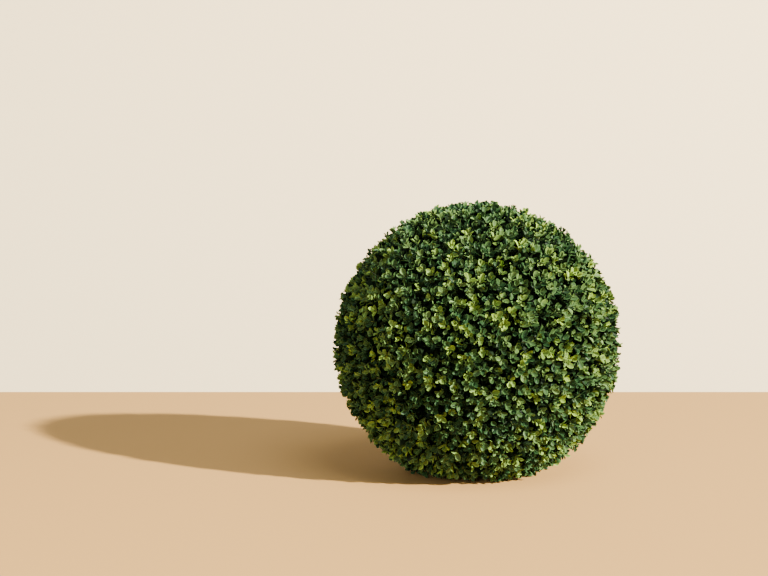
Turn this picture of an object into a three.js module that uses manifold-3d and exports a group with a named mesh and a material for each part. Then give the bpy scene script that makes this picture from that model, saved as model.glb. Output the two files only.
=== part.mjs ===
// Box topiary ball: a small-leaved evergreen shrub clipped to a ball 500 mm across, on a short stem
// that is hidden inside it. The ball's foot is flat where its lowest leaves meet the ground.
// Millimetres, with +Z up. The origin is the centre of the stem's flat cut at ground level.
//
// The shrub is two solids. The stem rises from the ground to its fork. The foliage is one clipped
// mass: its own stem goes on from the fork and divides into boughs, the boughs into twigs, and every
// twig ends in pairs of leaves that open to the clipped surface. A smaller core fills the inside,
// where the real shrub is too dense to see into.

import * as THREE from "three";
import { mergeVertices } from "three/addons/utils/BufferGeometryUtils.js";
import Module from "manifold-3d";

const wasm = await Module();
wasm.setup();

// Driving dimensions
const ballDiameter = 500; // across the leaf tips
const ballHeight = 467; // ground to the topmost leaf tips: the ball's flat foot makes it less
const stemHeight = 105; // ground to the fork
const seed = 50;

// The clipped ball
const ballRadius = ballDiameter / 2;
const heart = new THREE.Vector3(0, 0, ballHeight - ballRadius);
const groundClearance = 0.5; // the lowest leaves stop this far above the ground
const surfaceUnevenness = 0.012; // how far short of the clipped surface a twig may stop, as a share

// The stem
const stemRadius = 15; // just above the flare
const forkRadius = 12.5;
const flareRadius = 25; // at the ground
const flareHeight = 34; // where the flare has faded away
const rootLobes = 5;
const lobeDepth = 0.12; // of the radius, at the ground
const stemLean = 6; // sideways travel from the ground to the fork
const stemSides = 20;
const stemRings = 8;
const ringCrowding = 1.6; // over 1 crowds the rings towards the ground
const stemClearance = 0.3; // between the stem and the foliage around it

// The core
const coreRadius = 214;
const coreFootHeight = 16; // above the ground
const coreDetail = 5;
const coreLumps = 10; // how far its surface rises and falls
const lumpWaves = 23; // radians of that relief in one radius of the ball
const lumpPhases = { x: 1, y: 3, z: 5 };

// The boughs and twigs inside the foliage
const innerStemRadius = 10;
const boughCount = 7;
const boughsLeaveAt = 0.5; // of the way from the fork to the heart
const boughReach = 0.46; // of the ball's radius
const boughRadius = 9;
const boughTipRadius = 5;
const limbSides = 5;
const twigCount = 90;
const twigRadius = 6;
const twigTipRadius = 3.5;
const twigSides = 4; // one for each leaf of a double pair
const twigJitter = 0.16; // of the spacing between twigs

// The leaves, which are larger than life: the real ones are 12 mm long
const leafLength = 46;
const leafWidth = 38;
const leafThickness = 1.3;
const leafCup = 2.6; // how far the middle of the blade lies below its rim
const leafWidestAt = 0.58; // of its length from the root
const tipBeyondLeaves = 4; // the twig's tip above its last pair of leaves
const leafRootDepth = 0.3; // the leaf's root runs this far past the twig's axis
const pairs = [
  { towards: "side", below: 10, openFrom: 74 }, // depth below the upper pair, degrees from the twig
  { towards: "across", below: 0, openFrom: 56 },
];
const openUntil = 96;
const openStep = 3;
const leafTurn = 14; // degrees, either way
const leafScaleLeast = 0.88;

const goldenAngle = Math.PI * (3 - Math.sqrt(5));

// A repeatable stream of numbers from 0 to 1.
function seededNumbers(start) {
  let state = start >>> 0;
  return () => {
    state = (state + 0x6d2b79f5) >>> 0;
    let mixed = Math.imul(state ^ (state >>> 15), state | 1);
    mixed ^= mixed + Math.imul(mixed ^ (mixed >>> 7), mixed | 61);
    return ((mixed ^ (mixed >>> 14)) >>> 0) / 4294967296;
  };
}

const random = seededNumbers(seed);
const between = (low, high) => low + (high - low) * random();

// Directions spread evenly over a sphere from the top down, turning by the golden angle, like seeds on
// a flower head.
function evenDirections(count, jitter) {
  const spacing = Math.sqrt((4 * Math.PI) / count);
  return Array.from({ length: count }, (_, i) => {
    const z = 1 - (2 * i) / (count - 1);
    const across = Math.sqrt(1 - z * z);
    const angle = i * goldenAngle;
    const direction = new THREE.Vector3(across * Math.cos(angle), across * Math.sin(angle), z);
    const nudge = new THREE.Vector3(between(-1, 1), between(-1, 1), between(-1, 1));
    return direction.addScaledVector(nudge, jitter * spacing).normalize();
  });
}

// The distance from the heart to the clipped surface, or to the flat foot under it.
function reachAlong(direction) {
  const downwards = -direction.z;
  const toTheFoot = downwards > 0 ? (heart.z - groundClearance) / downwards : Infinity;
  return Math.min(ballRadius, toTheFoot);
}

// The stem's radius at a height and an angle: a root flare with lobes, then a slow taper.
function stemRadiusAt(height, angle) {
  const taper = THREE.MathUtils.lerp(stemRadius, forkRadius, height / stemHeight);
  const flare = Math.exp((-3 * height) / flareHeight);
  const lobes = 1 + lobeDepth * flare * Math.cos(rootLobes * angle);
  return (taper + (flareRadius - stemRadius) * flare) * lobes;
}

const stemAxisX = (height) => stemLean * (height / stemHeight) ** 2;

// The stem, grown by a clearance on all sides. Its rings are level, so that its foot is a flat cut,
// and lie closest together at the flare.
function stemGeometry(clearance) {
  const height = stemHeight + clearance;
  const geometry = new THREE.CylinderGeometry(1, 1, 1, stemSides, stemRings);
  geometry.rotateX(Math.PI / 2).translate(0, 0, 0.5);
  const points = geometry.getAttribute("position");
  for (let i = 0; i < points.count; i++) {
    const z = height * points.getZ(i) ** ringCrowding;
    const along = Math.min(Math.max(z, 0), stemHeight);
    const angle = Math.atan2(points.getY(i), points.getX(i));
    const onRim = Math.hypot(points.getX(i), points.getY(i));
    const radius = onRim * (stemRadiusAt(along, angle) + clearance);
    points.setXYZ(i, stemAxisX(along) + radius * Math.cos(angle), radius * Math.sin(angle), z);
  }
  return geometry;
}

// A limb's own direction from one point to another, and two directions across it.
function limbAxes(from, to, spin) {
  const along = to.clone().sub(from).normalize();
  const side = new THREE.Vector3(1, 0, 0).cross(along).normalize().applyAxisAngle(along, spin);
  return { side, along, across: side.clone().cross(along) };
}

// A limb that tapers from one point to another, with a flat facet towards its side.
function limbGeometry(from, to, fromRadius, toRadius, sides, spin = 0) {
  const { side, along, across } = limbAxes(from, to, spin);
  const geometry = new THREE.CylinderGeometry(toRadius, fromRadius, from.distanceTo(to), sides);
  geometry.rotateY(Math.PI / sides).applyMatrix4(new THREE.Matrix4().makeBasis(side, along, across));
  return geometry.translate(...from.clone().lerp(to, 0.5));
}

// A leaf lies along +Y from its root and faces +Z. It is widest beyond its middle and hollowed like a
// spoon. It starts as an octahedron, which has one vertex over the blade and one under it.
function leafBlank() {
  const geometry = new THREE.OctahedronGeometry(1);
  const points = geometry.getAttribute("position");
  for (let i = 0; i < points.count; i++) {
    const y = points.getY(i);
    const along = (1 + y) / 2 + (leafWidestAt - 0.5) * (1 - y * y);
    const overOrUnder = points.getZ(i);
    const height = (overOrUnder * leafThickness) / 2 - leafCup * Math.abs(overOrUnder);
    points.setXYZ(i, (points.getX(i) * leafWidth) / 2, along * leafLength, height);
  }
  return geometry;
}

// A closed geometry as a solid that can be joined and cut.
function solidOf(geometry) {
  const bare = geometry.clone().deleteAttribute("normal").deleteAttribute("uv");
  const merged = mergeVertices(bare, 1e-4);
  return new wasm.Manifold(
    new wasm.Mesh({
      numProp: 3,
      vertProperties: merged.getAttribute("position").array,
      triVerts: new Uint32Array(merged.index.array),
    }),
  );
}

// A solid's outer skin as a geometry: loose scraps and sealed hollows are left behind.
function geometryOf(solid) {
  const bodies = solid.decompose().sort((a, b) => b.volume() - a.volume());
  const mesh = bodies[0].getMesh();
  const geometry = new THREE.BufferGeometry();
  geometry.setAttribute("position", new THREE.BufferAttribute(mesh.vertProperties, 3));
  geometry.setIndex(new THREE.BufferAttribute(mesh.triVerts, 1));
  geometry.computeVertexNormals();
  return geometry;
}

// True where a point is in the foliage's own space: in the clipped ball, off the ground and clear of
// the stem.
function inItsSpace(point) {
  const fromStem = Math.hypot(point.x - stemAxisX(Math.min(point.z, stemHeight)), point.y);
  const clearOfStem = point.z > stemHeight || fromStem > flareRadius + stemClearance;
  return clearOfStem && point.z >= groundClearance && point.distanceTo(heart) <= ballRadius;
}

function keepsToItsSpace(geometry) {
  const points = geometry.getAttribute("position");
  const point = new THREE.Vector3();
  for (let i = 0; i < points.count; i++) {
    if (!inItsSpace(point.fromBufferAttribute(points, i))) return false;
  }
  return true;
}

const blank = leafBlank();

// One leaf on a twig. It opens further from the twig until it keeps to its space, or isn't grown.
function growLeaf(root, twigAlong, side, openFrom, scale) {
  const turn = THREE.MathUtils.degToRad(between(-leafTurn, leafTurn));
  for (let open = openFrom; open <= openUntil; open += openStep) {
    const angle = THREE.MathUtils.degToRad(open);
    const along = twigAlong.clone().multiplyScalar(Math.cos(angle));
    along.addScaledVector(side, Math.sin(angle));
    const across = new THREE.Vector3().crossVectors(along, twigAlong).normalize();
    across.applyAxisAngle(along, turn);
    const facing = new THREE.Vector3().crossVectors(across, along);
    const leaf = blank.clone().scale(scale, scale, scale);
    leaf.applyMatrix4(new THREE.Matrix4().makeBasis(across, along, facing));
    leaf.translate(...root.clone().addScaledVector(along, -leafRootDepth));
    if (keepsToItsSpace(leaf)) return solidOf(leaf);
  }
  return null;
}

// One twig with its opposite pairs of leaves, each pair a quarter turn round from the one below. The
// tips of the upper pair touch the clipped surface.
function growTwig(start, direction) {
  const scale = between(leafScaleLeast, 1);
  const reach = reachAlong(direction) * (1 - random() * surfaceUnevenness);
  const opening = THREE.MathUtils.degToRad(pairs.at(-1).openFrom);
  const sideways = scale * leafLength * Math.sin(opening);
  const tipDepth = scale * leafLength * Math.cos(opening) - leafRootDepth;
  const lastPair = Math.sqrt(reach ** 2 - sideways ** 2) - tipDepth;
  const tip = heart.clone().addScaledVector(direction, lastPair + tipBeyondLeaves);
  if (!inItsSpace(tip)) return [];
  const spin = between(0, Math.PI);
  const { side, along, across } = limbAxes(start, tip, spin);
  const twig = limbGeometry(start, tip, twigRadius, twigTipRadius, twigSides, spin);
  const leaves = pairs.flatMap(({ below, openFrom, towards }) => {
    const root = tip.clone().addScaledVector(along, -tipBeyondLeaves - below);
    const facet = towards === "side" ? side : across;
    return [1, -1].map((way) => {
      return growLeaf(root, along, facet.clone().multiplyScalar(way), openFrom, scale);
    });
  });
  return [solidOf(twig), ...leaves.filter(Boolean)];
}

// The core: a smaller ball with a flat foot too, and a gentle relief of lumps.
function coreSolid() {
  const geometry = new THREE.IcosahedronGeometry(coreRadius, coreDetail);
  const points = geometry.getAttribute("position");
  const point = new THREE.Vector3();
  for (let i = 0; i < points.count; i++) {
    point.fromBufferAttribute(points, i).normalize();
    const waves = ["x", "y", "z"].map((axis) => Math.sin(lumpWaves * point[axis] + lumpPhases[axis]));
    const meanWave = (waves[0] + waves[1] + waves[2]) / 3;
    point.multiplyScalar(coreRadius + coreLumps * meanWave);
    points.setXYZ(i, point.x, point.y, Math.max(point.z + heart.z, coreFootHeight));
  }
  return solidOf(geometry);
}

// The foliage's own limbs: a stem from the fork to the heart, and the boughs that leave it.
function innerLimbs(boughEnds) {
  const fork = new THREE.Vector3(stemAxisX(stemHeight), 0, stemHeight + stemClearance);
  const stem = limbGeometry(fork, heart, forkRadius, innerStemRadius, limbSides);
  const boughs = boughEnds.map((end) => {
    const from = fork.clone().lerp(heart, boughsLeaveAt);
    return limbGeometry(from, end, boughRadius, boughTipRadius, limbSides);
  });
  return [stem, ...boughs].map(solidOf);
}

function foliageGeometry() {
  const boughEnds = evenDirections(boughCount, 0).map((direction) =>
    heart.clone().addScaledVector(direction, boughReach * ballRadius),
  );
  const nearestBough = (direction) =>
    boughEnds.reduce((best, end) => {
      const ahead = (point) => point.clone().sub(heart).dot(direction);
      return ahead(end) > ahead(best) ? end : best;
    });
  const twigs = evenDirections(twigCount, twigJitter).flatMap((direction) =>
    growTwig(nearestBough(direction), direction),
  );
  const joined = wasm.Manifold.union([coreSolid(), ...innerLimbs(boughEnds), ...twigs]);
  return geometryOf(joined.subtract(solidOf(stemGeometry(stemClearance))));
}

function namedMesh(name, geometry, material) {
  const mesh = new THREE.Mesh(geometry, material);
  mesh.name = name;
  return mesh;
}

const barkMaterial = new THREE.MeshStandardMaterial({
  color: 0x6f6455,
  roughness: 0.9,
  metalness: 0,
});
const leafMaterial = new THREE.MeshStandardMaterial({
  color: 0x3f6227,
  roughness: 0.5,
  metalness: 0,
  flatShading: true,
});

const shrub = new THREE.Group();
shrub.add(namedMesh("stem", stemGeometry(0), barkMaterial));
shrub.add(namedMesh("foliage_ball", foliageGeometry(), leafMaterial));

export default shrub;
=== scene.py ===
# %% [markdown]
# # Box topiary ball
# A small-leaved evergreen shrub, clipped to a ball half a metre across that touches the ground. Its
# short stem is hidden inside. From a step away the shrub is all surface: nearly three thousand shoots
# end in cups of small round leaves, and between the cups the eye falls into a near-black inside. So
# the likeness lies in the leaf's outline, in how its pairs open, and in how light and dark green are
# dealt out from spray to spray.
#
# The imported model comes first, as a fixed frame. Everything made here keeps to the same ball, and
# every size below is worked out from it or is a real size of the plant.

import math

import bmesh
import bpy
import numpy as np
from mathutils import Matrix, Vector, noise


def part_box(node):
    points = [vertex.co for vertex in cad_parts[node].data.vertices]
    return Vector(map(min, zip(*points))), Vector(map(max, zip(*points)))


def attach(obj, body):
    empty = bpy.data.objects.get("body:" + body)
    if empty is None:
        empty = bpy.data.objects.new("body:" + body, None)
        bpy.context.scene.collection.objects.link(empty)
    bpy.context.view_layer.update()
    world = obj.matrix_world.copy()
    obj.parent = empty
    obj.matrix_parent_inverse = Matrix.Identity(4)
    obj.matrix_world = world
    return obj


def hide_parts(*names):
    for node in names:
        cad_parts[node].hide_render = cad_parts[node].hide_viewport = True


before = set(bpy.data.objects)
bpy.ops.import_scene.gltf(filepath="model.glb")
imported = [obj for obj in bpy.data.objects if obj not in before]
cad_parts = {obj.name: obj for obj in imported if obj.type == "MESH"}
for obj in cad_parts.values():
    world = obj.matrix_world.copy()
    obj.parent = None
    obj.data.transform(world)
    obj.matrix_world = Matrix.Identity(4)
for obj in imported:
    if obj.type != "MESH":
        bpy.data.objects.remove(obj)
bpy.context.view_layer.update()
scene = bpy.context.scene
mm = 0.001

# %% [markdown]
# ## What the ball measures
# The ball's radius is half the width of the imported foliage. Its foot is flat where the lowest leaves
# meet the ground, so its heart lies one radius under the topmost leaf, and less than one radius up.

# %% The ball's own sizes
ball_low, ball_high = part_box("foliage_ball")
ball_radius = max(ball_high.x - ball_low.x, ball_high.y - ball_low.y) / 2
heart = np.array([0, 0, ball_high.z - ball_radius])
ground_clearance = 0.5 * mm
print("ball radius", round(ball_radius / mm, 1), "heart height", round(heart[2] / mm, 1))

# %% [markdown]
# ## Camera
# The camera is worked out from four readings of the photograph, in its own pixels: the ball's centre,
# its radius to the leaf tips, the height of the horizon, and the frame. The horizon gives the pitch,
# because it lies where the camera looks level. The lens gives the distance. Of the lenses that were
# tried, 80 mm draws the ball's shadow on the floor nearest to its outline in the photograph.

# %% Place the camera
photo_width_px, photo_height_px = 768, 576
ball_centre_px = (476.5, 344)
ball_radius_px = 146
horizon_px = 140
lens_mm, sensor_mm = 80, 36

focal_px = lens_mm / sensor_mm * photo_width_px
pitch = math.atan((photo_height_px / 2 - horizon_px) / focal_px)
sight = Vector(
    (ball_centre_px[0] - photo_width_px / 2, photo_height_px / 2 - ball_centre_px[1], -focal_px)
)
stretch = (sight.length / focal_px) ** 1.5  # a ball off the middle of the view is drawn larger
half_angle = math.atan(ball_radius_px / focal_px / stretch)
distance = ball_radius / math.sin(half_angle)

camera = bpy.data.objects.new("camera", bpy.data.cameras.new("camera"))
scene.collection.objects.link(camera)
camera.data.lens = lens_mm
camera.data.sensor_width = sensor_mm
camera.rotation_euler = (math.pi / 2 - pitch, 0, 0)
sight.rotate(camera.rotation_euler)
camera.location = Vector(heart) - distance * sight.normalized()
scene.camera = camera
print("camera", round(distance, 3), "m from the heart, pitched down", round(math.degrees(pitch), 2))

# %% [markdown]
# ## Floor and backdrop
# A single sweep in two pale tones serves as both: a strip is extruded along the floor and then spun up
# round a very wide arc. Two planes would be simpler, but an upright one behind the ball throws light
# back into its shadow. For the same reason the arc stops well short of upright.

# %% Floor and backdrop
def plain_finish(name, colour, roughness):
    material = bpy.data.materials.new(name)
    material.use_nodes = True
    shader = material.node_tree.nodes["Principled BSDF"]
    shader.inputs["Base Color"].default_value = (*colour, 1)
    shader.inputs["Roughness"].default_value = roughness
    return material


def add_mesh_object(name, mesh, *materials):
    piece = bpy.data.objects.new(name, mesh)
    scene.collection.objects.link(piece)
    for material in materials:
        mesh.materials.append(material)
    return piece


sweep_width, sweep_front, sweep_back, sweep_radius = 24, -8, 0.91, 6  # in metres
sweep_turn, sweep_steps = math.radians(46), 32
sweep_roughness = 0.9

bm = bmesh.new()
corners = [bm.verts.new((side * sweep_width / 2, sweep_front, 0)) for side in (-1, 1)]
edge = [bm.edges.new(corners)]
moved = bmesh.ops.extrude_edge_only(bm, edges=edge)["geom"]
edge = [e for e in moved if isinstance(e, bmesh.types.BMEdge)]
bmesh.ops.translate(bm, verts=edge[0].verts, vec=(0, sweep_back - sweep_front, 0))
arc_centre = (0, sweep_back, sweep_radius)
bmesh.ops.spin(bm, geom=edge, cent=arc_centre, axis=(1, 0, 0), angle=sweep_turn, steps=sweep_steps)
bmesh.ops.recalc_face_normals(bm, faces=bm.faces)
for face in bm.faces:
    face.smooth = True
    face.material_index = int(face.calc_center_median().y > sweep_back)
sweep_mesh = bpy.data.meshes.new("sweep")
bm.to_mesh(sweep_mesh)
bm.free()
pale_floor = plain_finish("pale_floor", (0.45, 0.245, 0.06), sweep_roughness)
pale_backdrop = plain_finish("pale_backdrop", (0.95, 0.77, 0.46), sweep_roughness)
sweep = add_mesh_object("sweep", sweep_mesh, pale_floor, pale_backdrop)
print("sweep", len(sweep_mesh.polygons), "faces")

# %% [markdown]
# ## Light
# Low light from the right and the front rakes the leaves and throws a long shadow to the left. A sun
# lamp would serve as well as the round key lamp here, which is small for its distance and so keeps the
# shadow's edge crisp. A broad glow high up on the same side stands for the brightest part of the sky.
# A weak low fill, left of the camera, and a pale world lighten what the key doesn't reach.

# %% Lamps and sky
lamps = [
    # name, azimuth and elevation in degrees, metres from the heart, metres across, watts, colour
    ("key", -33.5, 26.8, 20, 0.7, 26500, (1, 0.93, 0.82)),
    ("glow", -60, 60, 5, 3, 190, (0.95, 0.98, 1)),
    ("fill", -115, 12, 4, 2.5, 72, (0.9, 0.95, 1)),
]
sky_colour, sky_strength = (0.95, 0.98, 1), 0.38


def round_lamp(name, azimuth, elevation, away, size, watts, colour):
    """A disc of light that faces the ball's heart."""
    azimuth, elevation = math.radians(azimuth), math.radians(elevation)
    towards = Vector(
        (
            math.cos(elevation) * math.cos(azimuth),
            math.cos(elevation) * math.sin(azimuth),
            math.sin(elevation),
        )
    )
    lamp = bpy.data.objects.new(name, bpy.data.lights.new(name, "AREA"))
    scene.collection.objects.link(lamp)
    lamp.data.shape = "DISK"
    lamp.data.size = size
    lamp.data.energy = watts
    lamp.data.color = colour
    lamp.location = Vector(heart) + away * towards
    lamp.rotation_euler = towards.to_track_quat("Z", "Y").to_euler()
    return lamp


placed_lamps = [round_lamp(*lamp) for lamp in lamps]
world = bpy.data.worlds.new("studio")
world.use_nodes = True
background = world.node_tree.nodes["Background"]
background.inputs["Color"].default_value = (*sky_colour, 1)
background.inputs["Strength"].default_value = sky_strength
scene.world = world
print("lamps", [lamp.name for lamp in placed_lamps])

# %% [markdown]
# ## How the shrub grows
# The stem forks low and its limbs keep dividing: boughs, branches, twigs and at last shoots. A tree
# add-on could grow them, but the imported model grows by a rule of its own. That rule is written again
# here and carried further, so that both fill the same ball. The ends of each order are spread evenly
# over a sphere by the golden angle, like seeds on a flower head, with a small seeded jitter. Each end
# is fed by the limb of the order before that points nearest to it.

# %% The growing rule
random = np.random.default_rng(20)
golden_angle = math.pi * (3 - math.sqrt(5))
level_slope = 1e-6  # the least slope that counts as downward, so that nothing is divided by zero


def unit(vectors):
    """Each vector at length one. One of no length stays so, as where a bough turns straight back."""
    lengths = np.linalg.norm(vectors, axis=-1, keepdims=True)
    return vectors / np.where(lengths > 0, lengths, 1)


def even_directions(count, jitter):
    """Directions spread evenly over a sphere, each then moved by a share of their spacing."""
    order = np.arange(count)
    z = 1 - 2 * order / (count - 1)
    across = np.sqrt(np.maximum(0, 1 - z**2))
    angle = order * golden_angle
    directions = np.column_stack([across * np.cos(angle), across * np.sin(angle), z])
    spacing = math.sqrt(4 * math.pi / count)
    return unit(directions + jitter * spacing * random.uniform(-1, 1, (count, 3)))


def reach_along(directions):
    """From the heart to the clipped surface, or to the flat foot under it."""
    downwards = np.maximum(-directions[..., 2], level_slope)
    return np.minimum(ball_radius, (heart[2] - ground_clearance) / downwards)


print("sixty even directions average", even_directions(60, 0).mean(0).round(3))

# %% [markdown]
# ## The stem's rule
# The stem flares where it meets the ground, with soft lobes where its roots set off, and leans a
# little. Leaves and shoots have to stay clear of it, so its shape is a function before it is a mesh.

# %% The stem's shape
stem_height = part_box("stem")[1].z
stem_radius, fork_radius, flare_radius = 15 * mm, 12.5 * mm, 25 * mm
flare_height, flare_fade = 34 * mm, 3
root_lobes, lobe_depth = 5, 0.12
stem_lean = 6 * mm
stem_clearance = 0.3 * mm


def stem_radius_at(height, angle):
    taper = stem_radius + (fork_radius - stem_radius) * height / stem_height
    flare = math.exp(-flare_fade * height / flare_height)
    lobes = 1 + lobe_depth * flare * math.cos(root_lobes * angle)
    return (taper + (flare_radius - stem_radius) * flare) * lobes


def stem_axis_x(height):
    return stem_lean * (height / stem_height) ** 2


print("stem", round(stem_height / mm, 1), "mm high, over a flare of", round(2 * flare_radius / mm))

# %% [markdown]
# ## Bark
# Old box bark is pale grey-brown, corky and split into small plates along the stem. A bump alone would
# leave the stem's edge smooth, so the splits are real relief in the mesh, cut inwards to keep to the
# solid, and only the finer grain is a bump. The colour wanders between warm brown and lichen grey.
# Inside so dense a ball one plain tone would do, but the stem is a piece of its own and is finished as
# one.

# %% Bark finish
bark_stretch = 0.3  # under 1 draws the pattern out along the limb
patch_detail, patch_roughness = 6, 0.6
patch_edges = (0.36, 0.66)  # where in the noise the low and the high colour are reached
fibre_fineness = 5  # how many times finer than the patches
fibre_detail = 4
fibre_strength, fibre_depth = 0.6, 0.6 * mm
bark_roughness = 0.85


def bark_finish(name, low_colour, high_colour, grain):
    material = plain_finish(name, high_colour, bark_roughness)
    nodes, links = material.node_tree.nodes, material.node_tree.links
    shader = nodes["Principled BSDF"]
    place = nodes.new("ShaderNodeTexCoord")
    stretch_along = nodes.new("ShaderNodeMapping")
    stretch_along.inputs["Scale"].default_value = (1, 1, bark_stretch)
    links.new(place.outputs["Object"], stretch_along.inputs["Vector"])
    patches = nodes.new("ShaderNodeTexNoise")
    patches.inputs["Scale"].default_value = grain
    patches.inputs["Detail"].default_value = patch_detail
    patches.inputs["Roughness"].default_value = patch_roughness
    links.new(stretch_along.outputs["Vector"], patches.inputs["Vector"])
    ramp = nodes.new("ShaderNodeValToRGB")
    for stop, position, colour in zip(
        ramp.color_ramp.elements, patch_edges, (low_colour, high_colour)
    ):
        stop.position = position
        stop.color = (*colour, 1)
    links.new(patches.outputs["Fac"], ramp.inputs["Fac"])
    links.new(ramp.outputs["Color"], shader.inputs["Base Color"])
    fibres = nodes.new("ShaderNodeTexNoise")
    fibres.inputs["Scale"].default_value = fibre_fineness * grain
    fibres.inputs["Detail"].default_value = fibre_detail
    links.new(stretch_along.outputs["Vector"], fibres.inputs["Vector"])
    bump = nodes.new("ShaderNodeBump")
    bump.inputs["Strength"].default_value = fibre_strength
    bump.inputs["Distance"].default_value = fibre_depth
    links.new(fibres.outputs["Fac"], bump.inputs["Height"])
    links.new(bump.outputs["Normal"], shader.inputs["Normal"])
    return material


old_bark = bark_finish("old_bark", (0.075, 0.05, 0.032), (0.27, 0.23, 0.18), grain=90)
young_bark = bark_finish("young_bark", (0.014, 0.014, 0.006), (0.045, 0.04, 0.018), grain=160)
print("finishes", old_bark.name, young_bark.name)

# %% Stem with bark relief
stem_sides, stem_rings = 84, 110
split_depth = 1.5 * mm
splits_around, splits_along = 5.5, 26  # cycles round the stem, and per metre of height
split_narrowness = 3.2
crumb_share, crumb_fineness = 0.25, 3.1  # of the relief, and how many times finer than the splits


def bark_split(height, angle):
    """From 0 on a plate to 1 in the bottom of a split."""
    spot = Vector(
        (splits_around * math.cos(angle), splits_around * math.sin(angle), splits_along * height)
    )
    split = max(0, 1 - split_narrowness * abs(noise.noise(spot))) ** 2
    crumbs = (noise.noise(crumb_fineness * spot) + 1) / 2
    return (1 - crumb_share) * split + crumb_share * crumbs


def upright_edges(bm):
    """The edges that run from end to end of a fresh cylinder one unit high."""
    return [e for e in bm.edges if abs(e.verts[0].co.z - e.verts[1].co.z) > 0.5]


bm = bmesh.new()
bmesh.ops.create_cone(bm, cap_ends=True, segments=stem_sides, radius1=1, radius2=1, depth=1)
bmesh.ops.subdivide_edges(bm, edges=upright_edges(bm), cuts=stem_rings)
for vert in bm.verts:
    height = (vert.co.z + 0.5) * stem_height
    angle = math.atan2(vert.co.y, vert.co.x)
    radius = stem_radius_at(height, angle) - split_depth * bark_split(height, angle)
    vert.co = (stem_axis_x(height) + radius * math.cos(angle), radius * math.sin(angle), height)
for face in bm.faces:
    face.smooth = True
stem_mesh = bpy.data.meshes.new("stem_bark")
bm.to_mesh(stem_mesh)
bm.free()
stem_bark = add_mesh_object("stem_bark", stem_mesh, old_bark)
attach(stem_bark, "root")
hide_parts("stem")
print("stem_bark", len(stem_mesh.polygons), "faces")

# %% [markdown]
# ## Many limbs in one mesh
# A limb is a tube along a gentle curve. One tube is made once, a cylinder that is cut into rings, and
# kept as a blank. Every limb of an order is then a copy of it, bent along its own curve with numpy and
# joined to the rest as one mesh. Separate objects would look the same and be far slower.

# %% Blanks and joined copies
def blank_from(bm):
    """A bmesh as plain arrays: its points, and its faces as a list of corner numbers."""
    bm.verts.index_update()
    points = np.array([v.co for v in bm.verts])
    corners = [[v.index for v in face.verts] for face in bm.faces]
    bm.free()
    return points, corners


def tube_blank(sides, rings):
    bm = bmesh.new()
    bmesh.ops.create_cone(bm, cap_ends=True, segments=sides, radius1=1, radius2=1, depth=1)
    bmesh.ops.subdivide_edges(bm, edges=upright_edges(bm), cuts=rings)
    bmesh.ops.translate(bm, verts=bm.verts, vec=(0, 0, 0.5))
    return blank_from(bm)


def joined_mesh(name, corners, copies, slots=None):
    """One mesh from an array of copies, copy by point by coordinate, that share their faces."""
    count, points = copies.shape[:2]
    flat = np.concatenate([np.array(c) for c in corners])
    sizes = np.array([len(c) for c in corners])
    loops = (flat[None, :] + points * np.arange(count)[:, None]).ravel()
    totals = np.tile(sizes, count)
    mesh = bpy.data.meshes.new(name)
    mesh.vertices.add(count * points)
    mesh.vertices.foreach_set("co", copies.astype(np.float32).ravel())
    mesh.loops.add(len(loops))
    mesh.loops.foreach_set("vertex_index", loops.astype(np.int32))
    mesh.polygons.add(len(totals))
    mesh.polygons.foreach_set("loop_start", (np.cumsum(totals) - totals).astype(np.int32))
    mesh.polygons.foreach_set("use_smooth", np.ones(len(totals), bool))
    if slots is not None:
        mesh.polygons.foreach_set("material_index", np.tile(slots, count).astype(np.int32))
    mesh.update(calc_edges=True)
    return mesh


def triangles_in(mesh):
    return sum(len(p.vertices) - 2 for p in mesh.polygons)


print("a tube with three sides and three rings has", len(tube_blank(3, 3)[0]), "points")

# %% Bend tubes into limbs
def curve_points(starts, bends, ends, along):
    """Points on each limb's curve, which leaves its start towards its bend and reaches its end."""
    t = along[..., None]
    return (1 - t) ** 2 * starts + 2 * t * (1 - t) * bends + t**2 * ends


def curve_headings(starts, bends, ends, along):
    t = along[..., None]
    return unit(2 * (1 - t) * (bends - starts) + 2 * t * (ends - bends))


def axes_across(headings):
    """Two directions square to each heading and to each other."""
    helper = np.where(np.abs(headings[..., :1]) < 0.8, [1.0, 0, 0], [0, 1.0, 0])
    side = unit(np.cross(helper, headings))
    return side, np.cross(headings, side)


def limb_mesh(name, limbs, start_radius, end_radius, sides, rings):
    points, corners = tube_blank(sides, rings)
    along = np.broadcast_to(points[:, 2], (len(limbs["start"]), len(points)))
    starts, bends, ends = (limbs[key][:, None] for key in ("start", "bend", "end"))
    centres = curve_points(starts, bends, ends, along)
    side, across = axes_across(unit(ends - starts))
    radius = (start_radius + (end_radius - start_radius) * along)[..., None]
    copies = centres + radius * (side * points[:, :1] + across * points[:, 1:2])
    return joined_mesh(name, corners, copies)


print("axes across the x axis", *axes_across(np.array([1.0, 0, 0])))

# %% [markdown]
# ## Boughs, branches and twigs
# Boughs leave a short inner stem that goes on from the fork. Each order is thinner than the one
# before, as in any shrub. Straight limbs would meet their parents at hard angles, so each one sets off
# in its parent's direction and then bends to its own.

# %% Grow the limbs
fork = np.array([stem_lean, 0, stem_height + stem_clearance])
upwards = np.array([0, 0, 1.0])
inner_stem_heading = np.array([0.1, 0, 1.0])
inner_stem_radius, inner_stem_sides = 10 * mm, 12
boughs_leave_at = 0.5  # of the way from the fork to the heart
limb_orders = [
    # name, count, jitter, share of the ball's radius, radius at each end in mm, sides
    ("boughs", 7, 0, 0.46, (9.0, 5.0), 12),
    ("branches", 46, 0.3, 0.70, (4.6, 2.8), 8),
    ("twigs", 700, 0.3, 0.86, (2.2, 1.2), 5),
]
limb_rings = 4
bend_share = 0.4  # of a limb's length that keeps its parent's direction


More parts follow.
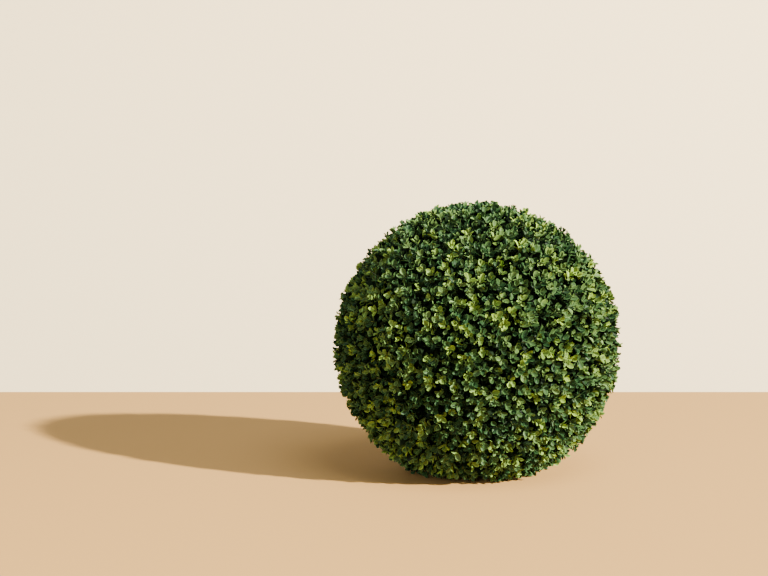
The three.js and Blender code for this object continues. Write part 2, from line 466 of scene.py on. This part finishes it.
def limbs_between(starts, start_headings, ends):
    lengths = np.linalg.norm(ends - starts, axis=1, keepdims=True)
    return {"start": starts, "bend": starts + bend_share * lengths * start_headings, "end": ends}


def nearest(directions, parent_directions):
    return np.argmax(directions @ parent_directions.T, axis=1)


inner_stem = limbs_between(fork[None], inner_stem_heading[None], heart[None])
orders = [("inner_stem", inner_stem, (fork_radius, inner_stem_radius), inner_stem_sides)]
crotch = fork + boughs_leave_at * (heart - fork)
parents = {"end": crotch[None], "direction": upwards[None]}
for name, count, jitter, share, radii, sides in limb_orders:
    directions = even_directions(count, jitter)
    ends = heart + share * reach_along(directions)[:, None] * directions
    fed_by = nearest(directions, parents["direction"])
    headings = unit(parents["direction"][fed_by] + directions)
    limbs = limbs_between(parents["end"][fed_by], headings, ends)
    orders.append((name, limbs, [r * mm for r in radii], sides))
    parents = {"end": ends, "direction": directions}
twig_ends = parents
print("orders of limbs", [name for name, *_ in orders])

# %% Limb pieces
for name, limbs, (start_radius, end_radius), sides in orders:
    finish = young_bark if name in ("branches", "twigs") else old_bark
    mesh = limb_mesh(name, limbs, start_radius, end_radius, sides, limb_rings)
    piece = add_mesh_object(name, mesh, finish)
    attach(piece, "root")
    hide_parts("foliage_ball")
    print(name, len(limbs["start"]), "limbs,", triangles_in(mesh), "triangles")

# %% [markdown]
# ## Shoots
# The last order is this year's growth. Each shoot leaves its twig, turns outward and ends just inside
# the clipped surface. Shoots that all ended level would make a smooth ball, so their depth varies in
# two ways. The shears leave each one a few millimetres above or below the next, and clumps of shoots
# lie deeper than others, which gives the ball its soft relief and its dark gaps. A shoot that would
# reach the stem is left out, as in the rule.

# %% Grow the shoots
shoot_count = 2750
shoot_jitter = 0.36
cup_depth = 6.8 * mm  # a shoot stops this far under the clipped surface, to leave room for its cup
clump_depth = 8 * mm
clumps_across = 9  # waves of that relief in one radius of the ball
clump_contrast = 1.6
shoot_unevenness = 9 * mm
unevenness_bias = 0.7  # under 1 leaves more shoots low than high
shoot_tilt = 0.3
shoot_lift = 0.12  # how far shoots turn up to the light
shoot_bend_at = 0.5  # of its length back from the tip
shoot_radii = (1.0 * mm, 0.55 * mm)
stem_room = 34 * mm  # beside the stem, no shoot ends nearer to its foot's centre than this


def relief(directions):
    """Smooth noise over the ball, from about -1 to 1."""
    return np.array([clump_contrast * noise.noise(Vector(clumps_across * d)) for d in directions])


shoot_directions = even_directions(shoot_count, shoot_jitter)
shoot_depths = cup_depth + clump_depth * np.maximum(0, relief(shoot_directions))
shoot_depths += shoot_unevenness * random.random(shoot_count) ** unevenness_bias
shoot_reach = reach_along(shoot_directions) - shoot_depths
shoot_tips = heart + shoot_reach[:, None] * shoot_directions
headings = shoot_directions + shoot_tilt * random.uniform(-1, 1, (shoot_count, 3))
headings[:, 2] += shoot_lift
headings = unit(headings)
shoot_starts = twig_ends["end"][nearest(shoot_directions, twig_ends["direction"])]
shoot_lengths = np.linalg.norm(shoot_tips - shoot_starts, axis=1)
shoots = {
    "start": shoot_starts,
    "bend": shoot_tips - shoot_bend_at * shoot_lengths[:, None] * headings,
    "end": shoot_tips,
}
from_stem = np.hypot(shoot_tips[:, 0], shoot_tips[:, 1])
clear = (from_stem > stem_room) | (shoot_tips[:, 2] > stem_height)
clear &= shoots["bend"][:, 2] > ground_clearance + shoot_radii[0]
shoots = {key: value[clear] for key, value in shoots.items()}
shoot_lengths = shoot_lengths[clear]
print("shoots grown", clear.sum(), "left out", (~clear).sum())

# %% Shoot piece
shoot_sides, shoot_rings = 3, 3
shoot_bark = plain_finish("shoot_bark", (0.09, 0.13, 0.035), 0.6)
mesh = limb_mesh("shoots", shoots, *shoot_radii, shoot_sides, shoot_rings)
shoot_piece = add_mesh_object("shoots", mesh, shoot_bark)
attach(shoot_piece, "root")
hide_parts("foliage_ball")
print("shoots", len(shoot_lengths), "with", triangles_in(mesh), "triangles")

# %% [markdown]
# ## One leaf
# A box leaf is about 12 mm long, widest beyond its middle, with a rounded tip and a narrow root. Its
# blade is hollowed like a spoon. Its rim is coloured paler, partly as a lighter edge and partly as a
# painted highlight where the rim catches the light. A picture of a leaf on a flat card would need
# fewer faces, but it has no hollow to catch the light. So the blank is a small grid that is pulled into
# that outline, hollowed and then closed at both ends. The leaves that show are made from a finer grid,
# whose outermost faces are the rim, and those behind have none.

# %% Leaf blanks
leaf_length, leaf_width = 12.6 * mm, 8.1 * mm
leaf_widest_at = 0.6  # of its length from the root
leaf_roundness = 0.6  # lower is blunter
leaf_hollow = 2.3 * mm
leaf_bow = 0.9 * mm
midrib_fold = 0.35 * mm
rim_crowding = 0.5  # under 1 makes the outer columns of the grid narrower
rim_from = 0.78  # of the way out from the midrib, or from the middle to the tip
leaf_weld = 0.01 * mm  # points this close are merged, which closes the root and the tip


def half_width_at(along):
    skew = math.log(0.5) / math.log(leaf_widest_at)
    return leaf_width / 2 * max(0, math.sin(math.pi * along**skew)) ** leaf_roundness


def leaf_blank(columns, rows):
    """A leaf's points and faces, and for each face 1 on the rim and 0 elsewhere."""
    bm = bmesh.new()
    bmesh.ops.create_grid(bm, x_segments=columns, y_segments=rows, size=1)
    for vert in bm.verts:
        vert.co.x = math.copysign(abs(vert.co.x) ** rim_crowding, vert.co.x)
    for face in bm.faces:
        middle = face.calc_center_median()
        # Rim faces take the second finish: paler, partly a lighter edge and partly a painted highlight.
        face.material_index = int(max(abs(middle.x), middle.y) > rim_from)
    for vert in bm.verts:
        u = vert.co.x
        along = (1 - math.cos(math.pi * (vert.co.y + 1) / 2)) / 2
        width = half_width_at(along)
        share = width / (leaf_width / 2)
        hollow = leaf_hollow * u * u * share**2 + midrib_fold * abs(u) * share
        bow = leaf_bow * (2 * along - 1) ** 2
        vert.co = (u * width, along * leaf_length, hollow + bow - leaf_bow)
    bmesh.ops.remove_doubles(bm, verts=bm.verts, dist=leaf_weld)
    rim_and_highlight = [face.material_index for face in bm.faces]
    return (*blank_from(bm), rim_and_highlight)


fine_leaf = leaf_blank(columns=4, rows=5)
plain_leaf = leaf_blank(columns=2, rows=4)
shade_leaf = leaf_blank(columns=2, rows=2)
print("leaf blanks", [len(blank[1]) for blank in (fine_leaf, plain_leaf, shade_leaf)], "faces")

# %% [markdown]
# ## Pairs of leaves
# Box leaves stand in opposite pairs, each a quarter turn from the pair below. The pair at the tip
# opens least and makes a cup round the bud, and those below open wider and wider. Leaves could be
# scattered over the ball by Geometry Nodes, but then they wouldn't stand in pairs on shoots. So each
# pair is placed along its shoot, and each leaf is turned on the shoot's own axes.

# %% Opposite pairs along limbs
pair_depths = np.array([0.4, 4.6, 9.5, 15, 21]) * mm
pair_openings = np.radians([31, 48, 61, 72, 79])
pair_sizes = np.array([0.8, 0.98, 1.0, 1.0, 1.05])
opening_spread, turn_spread, roll_spread, size_spread = math.radians(11), 0.25, 0.35, 0.12
size_limits = (0.75, 1.25)


def paired_leaves(limbs, along, openings, sizes):
    """Opposite pairs on every limb. Each pair has a place along its limb, an opening and a size."""
    curve = [limbs[key][:, None] for key in ("start", "bend", "end")]
    headings = curve_headings(*curve, along)
    side, across = axes_across(headings)
    spins = random.uniform(0, math.pi, (len(along), 1)) + np.arange(along.shape[1]) * math.pi / 2
    spins = spins + random.normal(0, turn_spread, spins.shape)
    pairs = {
        "root": curve_points(*curve, along),
        "heading": headings,
        "side": side,
        "across": across,
        "spin": spins,
    }
    leaves = {key: np.repeat(value[:, :, None], 2, axis=2) for key, value in pairs.items()}
    shape = leaves["spin"].shape
    leaves["spin"] = leaves["spin"] + np.array([0, math.pi])
    leaves["opening"] = openings[:, None] + random.normal(0, opening_spread, shape)
    leaves["roll"] = random.normal(0, roll_spread, shape)
    leaves["size"] = sizes[:, None] * random.normal(1, size_spread, shape).clip(*size_limits)
    return leaves


along_shoots = np.clip(1 - pair_depths / shoot_lengths[:, None], 0, 1)
leaves = paired_leaves(shoots, along_shoots, pair_openings, pair_sizes)
print("leaves to place", leaves["spin"].size)

# %% [markdown]
# ## Room for each leaf
# Each leaf follows the source's rule for its space. One that would leave the ball, meet the stem or
# dip into the ground opens further, step by step, and if that doesn't help it isn't grown. A Boolean
# cut would keep the space too, but the photograph shows whole leaves.

# %% Keep leaves to their space
open_steps, open_step = 4, math.radians(9)


def leaf_axes(heading, side, across, spin, opening, roll):
    """The three axes of a leaf: across its blade, along it, and out of its hollow face."""
    out = np.cos(spin)[..., None] * side + np.sin(spin)[..., None] * across
    c, s = np.cos(opening)[..., None], np.sin(opening)[..., None]
    along = c * heading + s * out
    facing = s * heading - c * out
    width = np.cross(along, facing)
    cr, sr = np.cos(roll)[..., None], np.sin(roll)[..., None]
    return width * cr + facing * sr, along, facing * cr - width * sr


def leaf_copies(points, leaf, opening):
    width, along, facing = leaf_axes(
        leaf["heading"], leaf["side"], leaf["across"], leaf["spin"], opening, leaf["roll"]
    )
    axes = np.stack([width, along, facing], axis=1) * leaf["size"][:, None, None]
    return leaf["root"][:, None] + np.einsum("pk,nkc->npc", points, axes)


def in_its_space(points):
    """True for each copy whose points all keep to the foliage's space."""
    from_stem = np.hypot(points[..., 0], points[..., 1])
    clear_of_stem = (points[..., 2] > stem_height) | (from_stem > flare_radius + stem_lean)
    from_heart = np.linalg.norm(points - heart, axis=-1)
    off_the_ground = points[..., 2] >= ground_clearance
    return (clear_of_stem & off_the_ground & (from_heart <= ball_radius)).all(axis=-1)


def open_into_space(points, leaf):
    """Each leaf's points, opened until it keeps to its space, and whether it does."""
    opening = leaf["opening"].copy()
    copies = leaf_copies(points, leaf, opening)
    kept = in_its_space(copies)
    for _ in range(open_steps):
        opening[~kept] += open_step
        tight = {key: value[~kept] for key, value in leaf.items()}
        copies[~kept] = leaf_copies(points, tight, opening[~kept])
        kept = in_its_space(copies)
    return copies, kept


print("a leaf opens by up to", round(math.degrees(open_steps * open_step)), "degrees more")

# %% [markdown]
# ## Greens by the spray
# The photograph shows no single green. Old leaves are a deep bluish green, young ones lime, and
# whole sprays differ. Each shoot draws a tint for its cup. The two pairs deepest in the foliage are a
# step or two darker, partly for their older green and partly as painted shade, and some leaves stray
# by a step. Every tint is a plain colour on a piece of its own, because a pattern over so many small
# blades would only blur.

# %% Deal out the tints
tints = [
    # name, colour, roughness, share of the sprays
    ("yellow", (0.120, 0.195, 0.026), 0.56, 0.06),
    ("lime", (0.080, 0.138, 0.024), 0.56, 0.17),
    ("fresh", (0.047, 0.090, 0.022), 0.54, 0.23),
    ("mid", (0.023, 0.055, 0.015), 0.52, 0.28),
    ("dark", (0.009, 0.030, 0.009), 0.50, 0.26),
    # deep goes to no spray. The deeper pairs reach it, and its near-black is partly painted shade.
    ("deep", (0.004, 0.015, 0.004), 0.55, 0),
]
tint_shares = [share for *_, share in tints]
# Steps darker for the pairs from the tip: partly older green, partly painted shade deep inside.
darker_with_age_and_shade = np.array([0, 0, 0, 1, 2])  # for each pair from the tip
stray_share = 0.2

spray_tints = random.choice(len(tints), len(shoot_lengths), p=tint_shares)
leaf_tints = np.tile(spray_tints[:, None, None] + darker_with_age_and_shade[:, None], 2)
strays = random.random(leaf_tints.shape) < stray_share
leaf_tints[strays] += random.choice([-1, 1], strays.sum())
leaf_tints = leaf_tints.clip(0, len(tints) - 1)
print("leaves of each tint", np.bincount(leaf_tints.ravel()))

# %% Leaf finishes
# A rim is painted paler than its blade: partly a lighter edge, partly a painted highlight.
rim_and_highlight_gain, rim_and_highlight_lift = 2.0, np.array([0.012, 0.016, 0.006])  # a rim's colour, from its blade's
leaf_gloss = 0.13


def leaf_finish(name, colour, roughness):
    material = plain_finish(name, colour, roughness)
    shader = material.node_tree.nodes["Principled BSDF"]
    shader.inputs["Specular IOR Level"].default_value = leaf_gloss
    return material


def leaf_finishes(name, colour, roughness):
    """The finish of a leaf's blade, and of its rim: paler, partly a lighter edge, partly a painted
    highlight.
    """
    rim_and_highlight_colour = rim_and_highlight_gain * np.array(colour) + rim_and_highlight_lift
    return leaf_finish(name, colour, roughness), leaf_finish(f"{name}_rim", rim_and_highlight_colour, roughness)


finishes = [leaf_finishes(f"leaf_{name}", colour, rough) for name, colour, rough, _ in tints]
print("finishes", [blade.name for blade, rim_and_highlight in finishes])

# %% Leaf pieces
fine_pairs = 3  # the pairs next to the tip that are made from the finer blank


def leaf_piece(name, blank, leaf, finishes):
    points, corners, rim_and_highlight = blank
    copies, kept = open_into_space(points, leaf)
    mesh = joined_mesh(name, corners, copies[kept], rim_and_highlight)
    piece = add_mesh_object(name, mesh, *finishes)
    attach(piece, "root")
    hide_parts("foliage_ball")
    print(name, kept.sum(), "leaves,", (~kept).sum(), "left out,", triangles_in(mesh), "triangles")


for layer, blank, pairs in (
    ("cup", fine_leaf, slice(0, fine_pairs)),
    ("older", plain_leaf, slice(fine_pairs, None)),
):
    for number, tint_finishes in enumerate(finishes):
        chosen = leaf_tints[:, pairs] == number
        if chosen.any():
            leaf = {key: value[:, pairs][chosen] for key, value in leaves.items()}
            leaf_piece(f"{layer}_leaves_{tints[number][0]}", blank, leaf, tint_finishes)

# %% [markdown]
# ## Leaves in the shade
# Behind this year's leaves the twigs, and the shoots near their feet, still carry old ones. Their
# colour is painted nearly black, as painted shade inside the ball, and they are larger than life so
# that fewer of them close the view into the ball. A dark ball inside would close it too, but its
# smooth face would show in the gaps.

# %% Place the shade leaves
shade_opening, shade_size = math.radians(70), 2
twig_places = np.linspace(0.25, 1, 9)  # shares of a twig's length
shade_depths = np.array([23, 29, 36]) * mm  # behind a shoot's tip
# Their near-black base colour is painted shade.
painted_shade_finish = leaf_finish("leaf_painted_shade", (0.004, 0.011, 0.003), 0.6)


def shade_piece(name, limbs, along):
    openings, sizes = (np.full(along.shape[1], value) for value in (shade_opening, shade_size))
    leaves = paired_leaves(limbs, along, openings, sizes)
    leaf = {key: value.reshape(-1, *value.shape[3:]) for key, value in leaves.items()}
    leaf_piece(name, shade_leaf, leaf, [painted_shade_finish])


twigs = orders[-1][1]
shade_piece("twig_shade_leaves", twigs, np.tile(twig_places, (len(twigs["start"]), 1)))
shade_along_shoots = np.clip(1 - shade_depths / shoot_lengths[:, None], 0, 1)
shade_piece("shoot_shade_leaves", shoots, shade_along_shoots)
